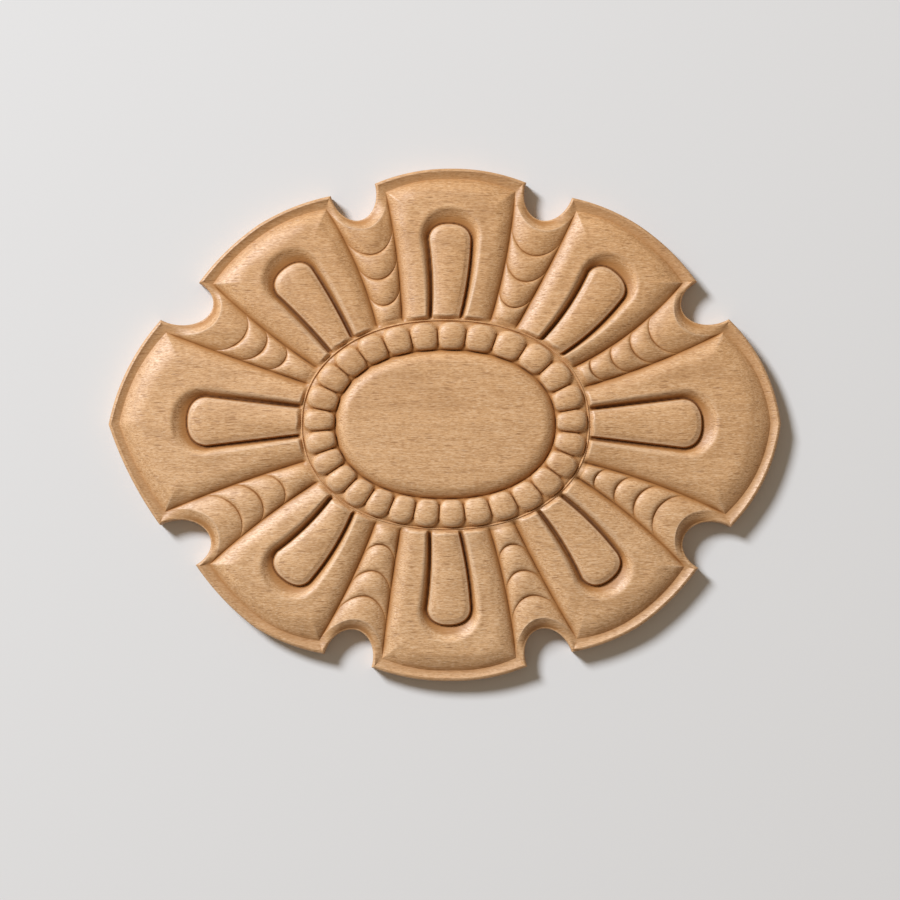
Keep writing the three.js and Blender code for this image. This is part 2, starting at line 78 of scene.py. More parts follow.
# Corners and apex of each petal as a bearing in degrees and a share of the way to the outline's ellipse,
# how far the two halves of its rim bow out, and the bearings where its grooves meet the ring. On the second
# line, how far the grooves bend towards the tongue, the bearings of the tongue's root and tip with the reach
# of the tip, how far the tongue's middle line bows anticlockwise, and its half widths at root and tip.
petal_plans = [
    (
        (-19.9, 0.938), (20.3, 0.938), (0, 0.998), (2.4, 2.6), (-15.4, 15.2),
        (1, 0.9), (0.4, 0.3, 0.702), 0, (3.4, 6.1),
    ),
    (
        (29.5, 0.932), (60.8, 0.961), (45.4, 0.966), (0.9, 0.9), (24.1, 54.1),
        (-1.8, 0.4), (36.2, 41, 0.718), -0.8, (2.9, 5.3),
    ),
    (
        (71.5, 0.973), (106.4, 0.962), (89, 0.998), (1, 1), (66.6, 112.1),
        (-0.9, 0.7), (89.7, 88.6, 0.716), -0.5, (3.5, 5.3),
    ),
    (
        (116.7, 0.954), (150.2, 0.918), (133.2, 0.957), (0.9, 0.9), (124.6, 156),
        (-1.3, -0.8), (142.1, 136.5, 0.711), -0.3, (3.0, 5.4),
    ),
    (
        (159.9, 0.94), (199.5, 0.935), (180.1, 1.002), (2, 1.1), (163.5, 194.7),
        (0.2, 0.5), (178.7, 179.2, 0.707), 0, (3.4, 6.1),
    ),
    (
        (209.5, 0.922), (242.2, 0.963), (227, 0.972), (0.9, 0.9), (204.2, 234.8),
        (-0.7, -0.8), (218.4, 223, 0.705), 0.7, (3.1, 5.4),
    ),
    (
        (253.1, 0.97), (288.6, 0.972), (271.4, 0.998), (1, 1), (246.9, 292.9),
        (-0.2, -0.8), (269.9, 271.1, 0.708), 0.4, (3.5, 5.4),
    ),
    (
        (299, 0.962), (330.3, 0.936), (313.9, 0.974), (0.9, 0.9), (304.9, 337.9),
        (-0.4, -1.1), (322.8, 317.6, 0.71), 0.6, (3.1, 5.4),
    ),
]

# Free scale tips on the husk after each petal, where the first and last of them lie on its length, and how
# deep a tip is for its half width
husk_plans = [
    (4, 0.1, 0.72, 0.7), (3, 0.165, 0.735, 0.95), (3, 0.17, 0.72, 0.95), (3, 0.27, 0.71, 0.7),
    (3, 0.28, 0.76, 0.7), (3, 0.18, 0.74, 0.95), (3, 0.18, 0.745, 0.95), (4, 0.13, 0.765, 0.7),
]


def mix(a, b, share):
    return a + (b - a) * share


def clamp(value):
    return min(1.0, max(0.0, value))


def smooth(value):
    value = clamp(value)
    return value * value * (3 - 2 * value)


def bunched(share, amount=0.75):
    """Shares from 0 to 1 drawn closer together towards both ends, where the surface turns sharply."""
    return mix(share, (1 - math.cos(math.pi * share)) / 2, amount)


def on_ellipse(bearing, half_length, half_width, share=1.0):
    direction = Vector((math.cos(math.radians(bearing)), math.sin(math.radians(bearing))))
    reach = 1 / math.hypot(direction.x / half_length, direction.y / half_width)
    return direction * (share * reach)


def on_outline(bearing, share):
    """The outline's centre lies a little towards +Y from the ring's."""
    return on_ellipse(bearing, onlay_length / 2, onlay_width / 2, share) + Vector((0, outline_shift))


def oval_reach(plan, half_length, half_width):
    """How far out a point lies compared with an oval a little squarer than an ellipse: 1 is on it."""
    along = abs(plan.x / half_length) ** ring_power
    across = abs(plan.y / half_width) ** ring_power
    return (along + across) ** (1 / ring_power)


def collar_reach(plan):
    return oval_reach(plan, ring_length / 2 + collar_width, ring_width / 2 + collar_width)


def on_collar(bearing):
    direction = Vector((math.cos(math.radians(bearing)), math.sin(math.radians(bearing))))
    return direction / collar_reach(direction)


def bowed(start, end, bow, share):
    """A point on a line that bows to its left by this much at its middle."""
    along = end - start
    left = Vector((-along.y, along.x)).normalized()
    return start + along * share + left * (4 * bow * share * (1 - share))


def dome_at(plan):
    """The whole face is slightly domed: nothing at the outline and the full rise at the ring."""
    reach = math.hypot(2 * plan.x / onlay_length, 2 * plan.y / onlay_width)
    ring_reach = (ring_length / onlay_length + ring_width / onlay_width) / 2
    return dome_rise * clamp((1 - reach) / (1 - ring_reach))


class PetalPlan:
    """One petal seen from above. Side 0 is its clockwise side and side 1 the other one."""

    def __init__(self, corner_0, corner_1, apex, bulge, root, bow, tongue, bend, half_widths):
        self.corners = [on_outline(*corner_0), on_outline(*corner_1)]
        self.apex = on_outline(*apex)
        self.bulge = bulge
        self.bend = bend
        self.half_widths = half_widths
        self.roots = [on_collar(bearing) for bearing in root]
        self.bow = (bow[0], -bow[1])
        self.foot_apex = self.apex - self.apex.normalized() * lip_width
        self.feet = []
        for corner, turn in zip(self.corners, (1, -1)):
            along = (self.apex - corner).normalized()
            across = Vector((-along.y, along.x)) * turn
            self.feet.append(corner + along * corner_setback + across * lip_width)
        self.tongue_root = on_collar(tongue[0])
        self.tongue_tip = on_ellipse(tongue[1], onlay_length / 2, onlay_width / 2, tongue[2])

    def groove(self, side, share):
        return bowed(self.roots[side], self.feet[side], self.bow[side], share)

    def rim(self, ends, apex, steps):
        first = [bowed(ends[0], apex, -self.bulge[0], i / steps) for i in range(steps)]
        second = [bowed(apex, ends[1], -self.bulge[1], i / steps) for i in range(steps + 1)]
        return first + second


def groove_height_at(plan, share):
    """A groove keeps its depth under the dome and runs out onto the foot of the lip."""
    runout = smooth((share - (1 - groove_runout)) / groove_runout)
    return mix(groove_height + dome_at(plan), lip_foot_height, runout)


class HuskPlan:
    """One husk seen from above, with its rows from the ring to the bevel of the notch."""

    def __init__(self, scales, first, last, roundness, before, after):
        self.before = before
        self.after = after
        self.axis = (self.middle(1) - self.middle(0)).normalized()
        self.length = (self.middle(1) - self.middle(0)).length
        mouth = (before.corners[1] + after.corners[0]) / 2
        notch_end = mouth - self.axis * notch_depth
        bevel_depth = (self.middle(1) - notch_end).dot(self.axis) + notch_bevel
        middle = self.middle(0)
        ring_middle = on_collar(math.degrees(math.atan2(middle.y, middle.x)))
        zone_ends = [(0.0, (middle - ring_middle).dot(self.axis))]
        for tip in range(scales):
            along = mix(first, last, tip / (scales - 1)) * (self.length - bevel_depth)
            spread = self.half_width(1) - self.half_width(0)
            share = (along + roundness * self.half_width(0)) / (self.length - roundness * spread)
            zone_ends.append((share, roundness * self.half_width(share)))
        zone_ends.append((1.0, bevel_depth))
        self.rows = self.rows_between(zone_ends)

    def side(self, side, share):
        return self.before.groove(1, share) if side == 0 else self.after.groove(0, share)

    def middle(self, share):
        return (self.side(0, share) + self.side(1, share)) / 2

    def half_width(self, share):
        return (self.side(0, share) - self.side(1, share)).length / 2

    def rows_between(self, zone_ends):
        """Each row's share of the grooves, depth of its middle towards the ring, and crest height."""
        rows = []
        zones = len(zone_ends) - 1
        for zone in range(zones):
            start, end = zone_ends[zone], zone_ends[zone + 1]
            steps = round((zone + 1) * leg_steps / zones) - round(zone * leg_steps / zones)
            is_last = zone == zones - 1
            for i in range(steps + 1):
                share = bunched(i / steps)
                foot_depth = end[1] if is_last else end[1] + scale_undercut
                to_tip = 1 - last_scale_fall * share if is_last else 1 - share
                dip = mix((1 - to_tip) ** 2, (1 - to_tip) ** steep_dip_power, steep_dip_share)
                crest = husk_height - scale_step * dip - scale_nose * to_tip ** nose_power
                rows.append((mix(start[0], end[0], share), mix(start[1], foot_depth, share), crest))
        return rows

    def point(self, row, column):
        row_share, depth, crest = self.rows[row]
        if column in (0, husk_columns):
            plan = self.side(0 if column == 0 else 1, row_share)
            return plan, groove_height_at(plan, row_share)
        angle = math.pi * (column / husk_columns - 0.5)
        share = row_share - depth * math.cos(angle) / self.length
        plan = self.side(0, share).lerp(self.side(1, share), (1 + math.sin(angle)) / 2)
        rise = math.cos(angle) ** husk_roundness
        return plan, mix(groove_height_at(plan, share), crest + dome_at(plan), rise)


def add_patch(name, columns, rows, point, edge_tone=None):
    """A grid with this many points each way, every one moved to its own place on the carved face."""
    bpy.ops.mesh.primitive_grid_add(x_subdivisions=columns - 1, y_subdivisions=rows - 1, size=1)
    patch = bpy.context.object
    patch.name = name
    for vertex in patch.data.vertices:
        row, column = divmod(vertex.index, columns)
        plan, height = point(row, column)
        vertex.co = (plan.x * MM, plan.y * MM, height * MM)
    marks = patch.data.attributes.new("edge_tone", "FLOAT", "POINT")
    if edge_tone is not None:
        for i, mark in enumerate(marks.data):
            mark.value = edge_tone(*divmod(i, columns))
    patch.select_set(False)
    return patch


petals = [PetalPlan(*plan) for plan in petal_plans]
petals_after = petals[1:] + petals[:1]
husks = [HuskPlan(*plan, petals[i], petals_after[i]) for i, plan in enumerate(husk_plans)]
patches = []
for i, husk in enumerate(husks):
    patches.append(add_patch(f"husk_{i}", husk_columns + 1, len(husk.rows), husk.point))

# Petals
# Eight broad petals stand between the husks. Each is a soft cushion round a U-shaped channel, hollowed with
# a gouge. A flat tongue with chamfered edges is left standing in it, behind a stop cut that deepens the
# channel's foot.
petal_height = 5.8
crest_rise = 0.1
crest_run = 3.0
rim_shoulder = 5.2
end_shoulder = 6.5
leg_shoulder = 4.6
corner_shoulder = 8.0
channel_height = 4.3
channel_root_width = 1.5
channel_side_width = 2.3
channel_end_width = 4.1
channel_floor = 0.8
stop_cut = 0.35
tongue_height = 5.6
tongue_crown = 0.3
tongue_end = 0.82
tongue_end_power = 2.3
tongue_chamfer = 1.4
chamfer_drop = 0.6
channel_squeeze = 0.95
end_power = 1.5

# Beside the tongue and at its end: how the channel's slope curves, and how much its crest is rounded
cove_powers = (0.75, 1.4)
crest_rounds = (0.5, 0.35)

# Where the lines of the mesh run, across a petal and round its rim
rim_steps = 26
leg_corner_columns = 14
rim_corner_columns = 10
tongue_shares = (0, 0.3, 0.58, 0.8, 0.95, 1)
wall_distances = (-1.25, -0.7, -0.25, 0.2, 0.75)
cove_shares = (0.25, 0.5, 0.7, 0.86)
crest_distances = (-0.55, -0.25, 0.05, 0.4, 0.9)
flat_shares = (0.2, 0.5, 0.8)
shoulder_shares = (1, 0.86, 0.72, 0.59, 0.47, 0.36, 0.26, 0.17, 0.1, 0.045, 0)

# The ridge at a corner is evened out over this many columns to each side of it, with the mean of this many
# neighbours to each side, and less and less away from the corner and towards the foot
ridge_columns = 10
ridge_neighbours = 8
ridge_spread = 3
ridge_amount = 1.3
ridge_fade_columns = 8
foot_fade_rows = 4


def leave_collar(start, direction, halvings=40):
    """How far a line from inside the collar runs before it crosses the collar."""
    inside, outside = 0.0, onlay_length
    for _ in range(halvings):
        middle = (inside + outside) / 2
        if collar_reach(start + direction * middle) < 1:
            inside = middle
        else:
            outside = middle
    return inside


def soft_lower(a, b, width):
    """The lower of two heights, rounded where they meet."""
    overlap = max(0.0, width - abs(a - b))
    return min(a, b) - overlap * overlap / (4 * width)


class PetalFace:
    """The carved face of one petal: columns square to the tongue's outline, and rows round the tongue."""

    def __init__(self, petal, husk_before, husk_after):
        self.petal = petal
        self.columns = []
        axis = petal.tongue_tip - petal.tongue_root
        self.tongue_length = axis.length
        self.axis = axis.normalized()
        self.left = Vector((-self.axis.y, self.axis.x))
        legs = [self.leg(husk_before, 1, -1), self.leg(husk_after, 0, 1)]
        spine = []
        for first, second in zip(*legs):
            along = min(self.tongue_length, (first[0] + second[0]) / 2)
            spine.append(self.middle(along))
        shoulders = []
        for i in range(len(spine)):
            corner = smooth(1 - (len(spine) - 1 - i) / leg_corner_columns)
            shoulders.append(mix(leg_shoulder, corner_shoulder, corner))
        for i, (along, outer, height) in enumerate(legs[0]):
            self.add_column(spine[i], along, -1, outer, height, shoulders[i])
        foot = petal.rim(petal.feet, petal.foot_apex, rim_steps)
        for i, outer in enumerate(foot[1:-1], 1):
            corner = smooth(1 - min(i, 2 * rim_steps - i) / rim_corner_columns)
            shoulder = mix(mix(rim_shoulder, end_shoulder, self.axis.x ** 2), corner_shoulder, corner)
            self.add_column(petal.tongue_tip, None, 0, outer, lip_foot_height, shoulder)
        for i, (along, outer, height) in reversed(list(enumerate(legs[1]))):
            self.add_column(spine[i], along, 1, outer, height, shoulders[i])
        self.soften_corners(len(spine) - 1)
        self.soften_corners(len(self.columns) - len(spine))

    def middle(self, along):
        petal = self.petal
        return bowed(petal.tongue_root, petal.tongue_tip, petal.bend, along / self.tongue_length)

    def on_tongue(self, along, lateral, outer):
        """A point on the tongue's outline: on its side, or on its round end towards the outer point."""
        root_half, tip_half = self.petal.half_widths
        if along is not None and along < self.tongue_length:
            half_width = mix(root_half, tip_half, along / self.tongue_length)
            return self.middle(along) + self.left * (lateral * half_width)
        direction = (outer - self.petal.tongue_tip).normalized()
        forward = abs(direction.dot(self.axis)) / (tongue_end * tip_half)
        across = abs(direction.dot(self.left)) / tip_half
        reach = (forward ** tongue_end_power + across ** tongue_end_power) ** (-1 / tongue_end_power)
        return self.petal.tongue_tip + direction * reach

    def leg(self, husk, husk_side, lateral):
        """Where the columns of one leg stand along the tongue, with their ends in the groove."""
        shares = sorted({row[0] for row in husk.rows})
        root = self.petal.tongue_root
        first = husk.side(husk_side, 0)
        side = root + self.left * (lateral * self.petal.half_widths[0])
        start = side - self.axis * (self.tongue_length / 2)
        root_along = leave_collar(start, self.axis) - self.tongue_length / 2
        offset = root_along - (first - root).dot(self.axis)
        columns = []
        for i, share in enumerate(shares):
            plan = husk.side(husk_side, share)
            along = (plan - root).dot(self.axis) + offset * (1 - i / (len(shares) - 1)) ** 2
            columns.append((along, plan, groove_height_at(plan, share)))
        return columns

    def add_column(self, spine, along, lateral, outer, outer_height, shoulder):
        petal = self.petal
        side = channel_side_width
        if along is not None:
            side = mix(channel_root_width, channel_side_width, clamp(along / self.tongue_length))
        tongue = self.on_tongue(along, lateral, outer)
        run = outer - tongue
        length = run.length
        run.normalize()
        at_tip = along is None or along >= self.tongue_length
        forward = clamp((tongue - petal.tongue_tip).normalized().dot(self.axis))
        end = forward ** end_power if at_tip else 0.0
        channel = mix(side, channel_end_width, end)
        squeeze = min(1.0, channel_squeeze * length / (channel + shoulder))
        channel *= squeeze
        shoulder *= squeeze
        distances = [*wall_distances, length]
        distances += [mix(channel_floor, channel, share) for share in cove_shares]
        distances += [channel + distance for distance in crest_distances]
        distances += [mix(channel, length - shoulder, share) for share in flat_shares]
        distances += [length - shoulder * share for share in shoulder_shares[:-1]]
        distances = sorted(min(distance, length) for distance in distances)
        outer_rise = outer_height - dome_at(outer)
        rows = []
        for share in tongue_shares:
            plan = spine.lerp(tongue - run * tongue_chamfer, share)
            rows.append((plan, tongue_height + tongue_crown * (1 - share ** 2) + dome_at(plan)))
        for distance in distances:
            plan = outer if distance == length else tongue + run * distance
            height = self.height(distance, length, channel, shoulder, outer_rise, end)
            rows.append((plan, height + dome_at(plan)))
        self.columns.append(rows)

    def height(self, distance, length, channel, shoulder, outer_rise, end):
        if distance < 0:
            return tongue_height - chamfer_drop * clamp((tongue_chamfer + distance) / tongue_chamfer)
        if distance < channel_floor:
            return channel_height - stop_cut * (1 - distance / channel_floor)
        cove = ((distance - channel_floor) / (channel - channel_floor)) ** mix(*cove_powers, end)
        slope = mix(channel_height, petal_height + crest_rise, cove)
        rounded = 1 - (1 - clamp((length - distance) / shoulder)) ** 2
        cushion = mix(outer_rise, petal_height, rounded)
        cushion += crest_rise * (1 - smooth((distance - channel) / crest_run)) * rounded
        return soft_lower(slope, cushion, mix(*crest_rounds, end))

    def soften_corners(self, corner):
        """Evens out the ridge that runs from a corner of the petal to its channel."""
        crest_row = len(tongue_shares) + len(wall_distances) + len(cove_shares)
        steps = range(-ridge_neighbours, ridge_neighbours + 1)
        weights = [math.exp(-0.5 * (step / ridge_spread) ** 2) for step in steps]
        columns = {}
        for middle in range(corner - ridge_columns, corner + ridge_columns + 1):
            amount = smooth(ridge_amount - abs(middle - corner) / ridge_fade_columns)
            rows = list(self.columns[middle])
            last = len(rows) - 1
            for row in range(crest_row, last):
                near = [self.columns[middle + step][row][1] for step in steps]
                even = sum(weight * height for weight, height in zip(weights, near)) / sum(weights)
                plan, height = rows[row]
                rows[row] = (plan, mix(height, even, amount * clamp((last - row) / foot_fade_rows)))
            columns[middle] = rows
        for middle, rows in columns.items():
            self.columns[middle] = rows

    def point(self, row, column):
        return self.columns[column][row]


faces = []
for i, petal in enumerate(petals):
    face = PetalFace(petal, husks[i - 1], husks[i])
    faces.append(face)
    patches.append(add_patch(f"petal_{i}", len(face.columns), len(face.columns[0]), face.point))

# Ring of beads and oval field
# A fine rim, a string of rounded square beads and a smooth raised oval fill the middle, all in the same
# wood. The beads are shaped one by one with a hollow gouge, which leaves a narrow cleft between neighbours,
# and the field is sanded flat.
collar_height = 6.5
rim_width = 0.6
rim_height = 6.75
bead_count = 28
bead_length = 7.2
bead_end_length = 8.0
rim_foot_height = 6.5
bead_floor_height = 6.45
bead_height = 8.4
cleft_height = 7.0
first_bead_bearing = 83.5
field_height = 8.4
field_crown = 0.3
field_shoulder = 3.5
bead_steps = 14
bead_rows = 16
bead_bunching = 0.6
bead_outer_power = 2.4
bead_inner_power = 3.2
pillow_power = 2.3
field_rows = 8
field_reach = 0.98

# Each line of the rim as a share of its width inwards, and its height
rim_profile = (
    (0, collar_height), (0.2, 6.66), (0.35, rim_height), (0.5, rim_height), (0.8, rim_foot_height),
)
field_shoulder_shares = (0.04, 0.1, 0.18, 0.28, 0.4, 0.54, 0.7, 0.85, 1)

# The beads are spaced as listed below. Each wave round the ring shifts them by some degrees: how many times
# it goes up and down, its size and its start.
bead_waves = ((1, 4.9, 58), (2, 2.2, 10), (3, 0.8, 132))


def bead_bearing(bead):
    even = first_bead_bearing + bead * 360 / bead_count
    shift = sum(size * math.sin(math.radians(times * even - start)) for times, size, start in bead_waves)
    return even + shift


def lean_at(angle):
    """The turn, in radians for each millimetre outwards, that keeps the clefts square to the ring."""
    across = ring_length / 2 * math.sin(angle)
    along = ring_width / 2 * math.cos(angle)
    return (ring_length - ring_width) / 2 * math.sin(angle) * math.cos(angle) / (across ** 2 + along ** 2)


def ring_point(inset, step):
    """A point on a line round the oval. The beads are longer at its ends than at its sides."""
    bead, part = divmod(step, bead_steps)
    angle = math.radians(bead_bearing(bead - 0.5 + bunched(part / bead_steps, bead_bunching)))
    angle += lean_at(angle) * (rim_width + bead_length / 2 - min(inset, rim_width + bead_length))
    end_inset = inset + (bead_end_length - bead_length) * clamp((inset - rim_width) / bead_length)
    half_length, half_width = ring_length / 2 - end_inset, ring_width / 2 - inset
    plan = Vector((half_length * math.cos(angle), half_width * math.sin(angle)))
    return plan / oval_reach(plan, half_length, half_width)


def pillow(share):
    return (1 - clamp(abs(share)) ** pillow_power) ** 0.5


def bead_surface(across, step):
    part = step % bead_steps
    along = 2 * bunched(part / bead_steps, bead_bunching) - 1
    power = bead_outer_power if across < 0 else bead_inner_power
    reach = (abs(across) ** power + abs(along) ** power) ** (1 / power)
    floor_height = mix(rim_foot_height, bead_floor_height, (across + 1) / 2)
    cleft = mix(floor_height, cleft_height, pillow(across))
    return mix(cleft, bead_height, pillow(reach))


def ring_rows():
    """The inset of each line round the oval from the collar's foot inwards, and its height at a step."""
    rows = []
    for share, height in rim_profile:
        rows.append((rim_width * share, lambda step, height=height: height))
    for row in range(bead_rows + 1):
        share = bunched(row / bead_rows, bead_bunching)
        across = 2 * share - 1
        inset = mix(rim_width, rim_width + bead_length, share)
        rows.append((inset, lambda step, across=across: bead_surface(across, step)))
    inner = rim_width + bead_length
    for share in field_shoulder_shares:
        height = mix(bead_floor_height, field_height, 1 - (1 - share) ** 2)
        rows.append((inner + field_shoulder * share, lambda step, height=height: height))
    rest = ring_width / 2 - inner - field_shoulder
    for i in range(1, field_rows + 1):
        height = field_height + field_crown * (1 - (1 - i / field_rows) ** 2)
        inset = inner + field_shoulder + rest * field_reach * i / field_rows
        rows.append((inset, lambda step, height=height: height))
    return rows


rings = ring_rows()


def field_point(row, column):
    inset, height = rings[row]
    step = column % (bead_count * bead_steps)
    return ring_point(inset, step), height(step)


patches.append(add_patch("ring_and_field", bead_count * bead_steps + 1, len(rings), field_point))

# Collar between the carving and the ring
# The ends of the legs, tongues and husks are cut off round the ring with a chisel. The cut is a short bevel
# in the same wood, and it runs down to the foot of the rim.
bevel_shares = (0, 0.12, 0.35, 0.7, 0.97)
bevel_falls = (0, 0.06, 0.28, 0.7, 1)

collar = []
for i, face in enumerate(faces):
    start_line = face.columns[0][::-1]
    end_line = face.columns[-1]
    husk_line = [husks[i].point(0, column) for column in range(husk_columns + 1)]
    collar += start_line[:-1] + end_line[:-1] + husk_line[:-1]


def collar_point(row, column):
    plan, height = collar[column % len(collar)]
    bearing = math.degrees(math.atan2(plan.y, plan.x))
    outward = Vector((math.cos(math.radians(bearing)), math.sin(math.radians(bearing))))
    foot = outward / oval_reach(outward, ring_length / 2, ring_width / 2)
    return plan.lerp(foot, bevel_shares[row]), mix(height, collar_height, bevel_falls[row])


patches.append(add_patch("collar", len(collar) + 1, len(bevel_shares), collar_point))

# Lip, notches and edge
# A shallow hollow lip runs along the outer edge of each petal, and a bevel round each notch. The edge is
# sawn square to the flat back and its arris is eased with sandpaper.
edge_height = 4.5
arris_round = 0.75
notch_edge_height = 4.3
notch_arris = 0.35
back_arris = 0.25
band_shares = (0, 0.05, 0.13, 0.25, 0.4, 0.55, 0.7, 0.84, 0.95, 1)
lip_hollow = 0.12
notch_tone = 0.4
arris_angles = (0, 22.5, 45, 67.5, 90)

band_inner = []
band_outer = []
for i, petal in enumerate(petals):
    after = petals_after[i]
    rim = petal.rim(petal.corners, petal.apex, rim_steps)
    foot = petal.rim(petal.feet, petal.foot_apex, rim_steps)
    for inner, outer in zip(foot, rim):
        band_inner.append((inner, lip_foot_height, 0.0))
        band_outer.append((outer, edge_height, arris_round))
    middle = (petal.corners[1] + after.corners[0]) / 2
    half = (after.corners[0] - petal.corners[1]) / 2
    for column in range(1, husk_columns):
        angle = math.pi * (column / husk_columns - 0.5)
        plan = middle + half * math.sin(angle) - husks[i].axis * (notch_depth * math.cos(angle))
        bevel = husks[i].point(len(husks[i].rows) - 1, column)
        band_inner.append((*bevel, math.cos(angle)))
        height = mix(edge_height, notch_edge_height, math.cos(angle))
        band_outer.append((plan, height, mix(arris_round, notch_arris, math.cos(angle))))

edge_count = len(band_outer)
inward = []
for i in range(edge_count):
    along = band_outer[(i + 1) % edge_count][0] - band_outer[i - 1][0]
    inward.append(Vector((-along.y, along.x)).normalized())
wall_rows = 3
edge_rows = len(band_shares) + len(arris_angles) - 1 + wall_rows


def edge_point(row, column):
    """Across the lip or bevel from its inner line, over the arris and down the wall to the back."""
    i = column % edge_count
    inner, inner_height, in_notch = band_inner[i]
    outer, height, arris = band_outer[i]
    if row < len(band_shares):
        share = band_shares[row]
        hollow = lip_hollow * (1 - in_notch) * 4 * share * (1 - share)
        return inner.lerp(outer + inward[i] * arris, share), mix(inner_height, height, share) - hollow
    row -= len(band_shares) - 1
    if row < len(arris_angles):
        angle = math.radians(arris_angles[row])
        return outer + inward[i] * (arris * (1 - math.sin(angle))), height - arris * (1 - math.cos(angle))
    row -= len(arris_angles)
    if row < wall_rows - 1:
        return outer, (height / 2, back_arris)[row]
    return outer + inward[i] * back_arris, 0.0


def edge_tone_at(row, column):
    """The lip is painted a little darker than the bevel of a notch."""
    return mix(1.0, notch_tone, band_inner[column % edge_count][2])


patches.append(add_patch("edge", edge_count + 1, edge_rows, edge_point, edge_tone_at))

# The whole onlay
# All the carving is in one board, so the patches are joined and welded into one closed surface with a plain
# flat back. A little unevenness is left by the hand tools all over the face.
weld_distance = 2e-6
broad_waves = 0.12
fine_waves = 0.45
broad_wave_height = 0.07
fine_wave_height = 0.03
even_below = 3.0
even_fade = 1.5
crisp_angle = math.radians(35)

for patch in patches:
    patch.select_set(True)
bpy.context.view_layer.objects.active = patches[0]
bpy.ops.object.join()
onlay = bpy.context.object
onlay.name = "carved_rosette"
onlay.data.name = "carved_rosette"


def stitch(mesh, inner_line, outer_line):
    """Triangles between two closed lines of vertices, both sorted by bearing round the centre."""
    def turned(line):
        line = sorted(line, key=lambda vertex: math.atan2(vertex.co.y, vertex.co.x) % math.tau)
        bearings = [math.atan2(vertex.co.y, vertex.co.x) % math.tau for vertex in line]
        return line + [line[0]], bearings + [bearings[0] + math.tau]
    inner, inner_bearings = turned(inner_line)
    outer, outer_bearings = turned(outer_line)
    i = j = 0
    while i + 1 < len(inner) or j + 1 < len(outer):
        inner_next = inner_bearings[i + 1] if i + 1 < len(inner) else math.inf
        outer_next = outer_bearings[j + 1] if j + 1 < len(outer) else math.inf
        if outer_next <= inner_next:
            mesh.faces.new((inner[i], outer[j], outer[j + 1]))
            j += 1
        else:
            mesh.faces.new((inner[i], outer[j], inner[i + 1]))
            i += 1


bpy.ops.object.mode_set(mode="EDIT")
bpy.ops.mesh.select_all(action="SELECT")
bpy.ops.mesh.remove_doubles(threshold=weld_distance)
mesh = bmesh.from_edit_mesh(onlay.data)
open_points = {vertex for edge in mesh.edges if edge.is_boundary for vertex in edge.verts}


def ring_reach(vertex):
    return oval_reach(vertex.co / MM, ring_length / 2, ring_width / 2)


def open_line(nearest, farthest):
    """The open points between two ovals, given as shares of the way to the ring's."""
    return [vertex for vertex in open_points if nearest < ring_reach(vertex) < farthest]


# The last line of the field is closed with a flat face, and so is the back. Between them, the foot of the
# rim is joined to the foot of the collar's bevel just outside it.
on_field, on_rim, on_carving, off_onlay = 0.5, 1.0005, 1.2, 10
stitch(mesh, open_line(on_field, on_rim), open_line(on_rim, on_carving))
for line in (open_line(0, on_field), open_line(on_carving, off_onlay)):
    ends = set(line)
    edges = [edge for edge in mesh.edges if edge.is_boundary and ends.issuperset(edge.verts)]
    bmesh.ops.contextual_create(mesh, geom=edges)
for face in mesh.faces:
    face.smooth = len(face.verts) <= 4
bmesh.update_edit_mesh(onlay.data)
bpy.ops.mesh.select_all(action="SELECT")
bpy.ops.mesh.normals_make_consistent(inside=False)
bpy.ops.mesh.select_all(action="DESELECT")
bpy.ops.object.mode_set(mode="OBJECT")

for vertex in onlay.data.vertices:
    place = vertex.co / MM
    if place.z > even_below:
        broad = broad_wave_height * noise.noise(place * broad_waves)
        fine = fine_wave_height * noise.noise(place * fine_waves + Vector((31, 7, 3)))
        vertex.co.z += (broad + fine) * MM * smooth((place.z - even_below) / even_fade)

bpy.ops.object.shade_smooth_by_angle(angle=crisp_angle)
onlay.select_set(False)

# How deep each point lies below the carving round it, in a narrow, a wide and a broad neighbourhood. The
# colour is darkened there, partly as the wax's darker tone and partly as painted shade, and in the broad
# neighbourhood only as painted shade. The high arrises are painted a little paler, partly as rubbed wear and
# partly as painted highlight.
cell = 0.25
grid_margin = 24
above_all = 20.0
neighbourhoods = {"recess": 0.45, "hollow": 1.6, "basin": 4.5}

grid_columns = int(onlay_length / cell) + grid_margin
grid_rows = int(onlay_width / cell) + grid_margin
tree = BVHTree.FromObject(onlay, bpy.context.evaluated_depsgraph_get())
heights = np.zeros((grid_rows, grid_columns))
covered = np.zeros((grid_rows, grid_columns))
for row in range(grid_rows):
    for column in range(grid_columns):
        plan = ((column - grid_columns / 2) * cell, (row - grid_rows / 2) * cell)
        hit = tree.ray_cast(Vector((*plan, above_all)) * MM, Vector((0, 0, -1)))[0]
        if hit is not None:
            heights[row, column] = hit.z / MM
            covered[row, column] = 1


def blurred(values, radius):
    """A Gaussian blur, this many cells wide, along both directions of a grid."""
    reach = int(3 * radius)
    weights = np.exp(-0.5 * (np.arange(-reach, reach + 1) / radius) ** 2)
    weights /= weights.sum()
    values = np.apply_along_axis(np.convolve, 0, values, weights, "same")
    return np.apply_along_axis(np.convolve, 1, values, weights, "same")


# 0 on the edge wall, and 1 from about half a millimetre inside the outline
inside = np.clip(blurred(covered, 1.5) * 4 - 3, 0, 1)


def depth_below(radius_mm):
    weight = blurred(covered, radius_mm / cell)
    return (blurred(heights, radius_mm / cell) / np.maximum(weight, 1e-6) - heights) * inside


# Less of the wax tone and painted shade is put inside the ring, on the fine rim and along the lips, and none
# low on the edge wall.
# Each fades over a share of the way out from the ring or from the middle.
kept_in_ring = 0.7
ring_fade = 0.1
kept_on_rim = 0.55
rim_fades = (0.012, 0.04)
kept_on_lip = 0.5
lip_start = 0.86
lip_fade = 0.06


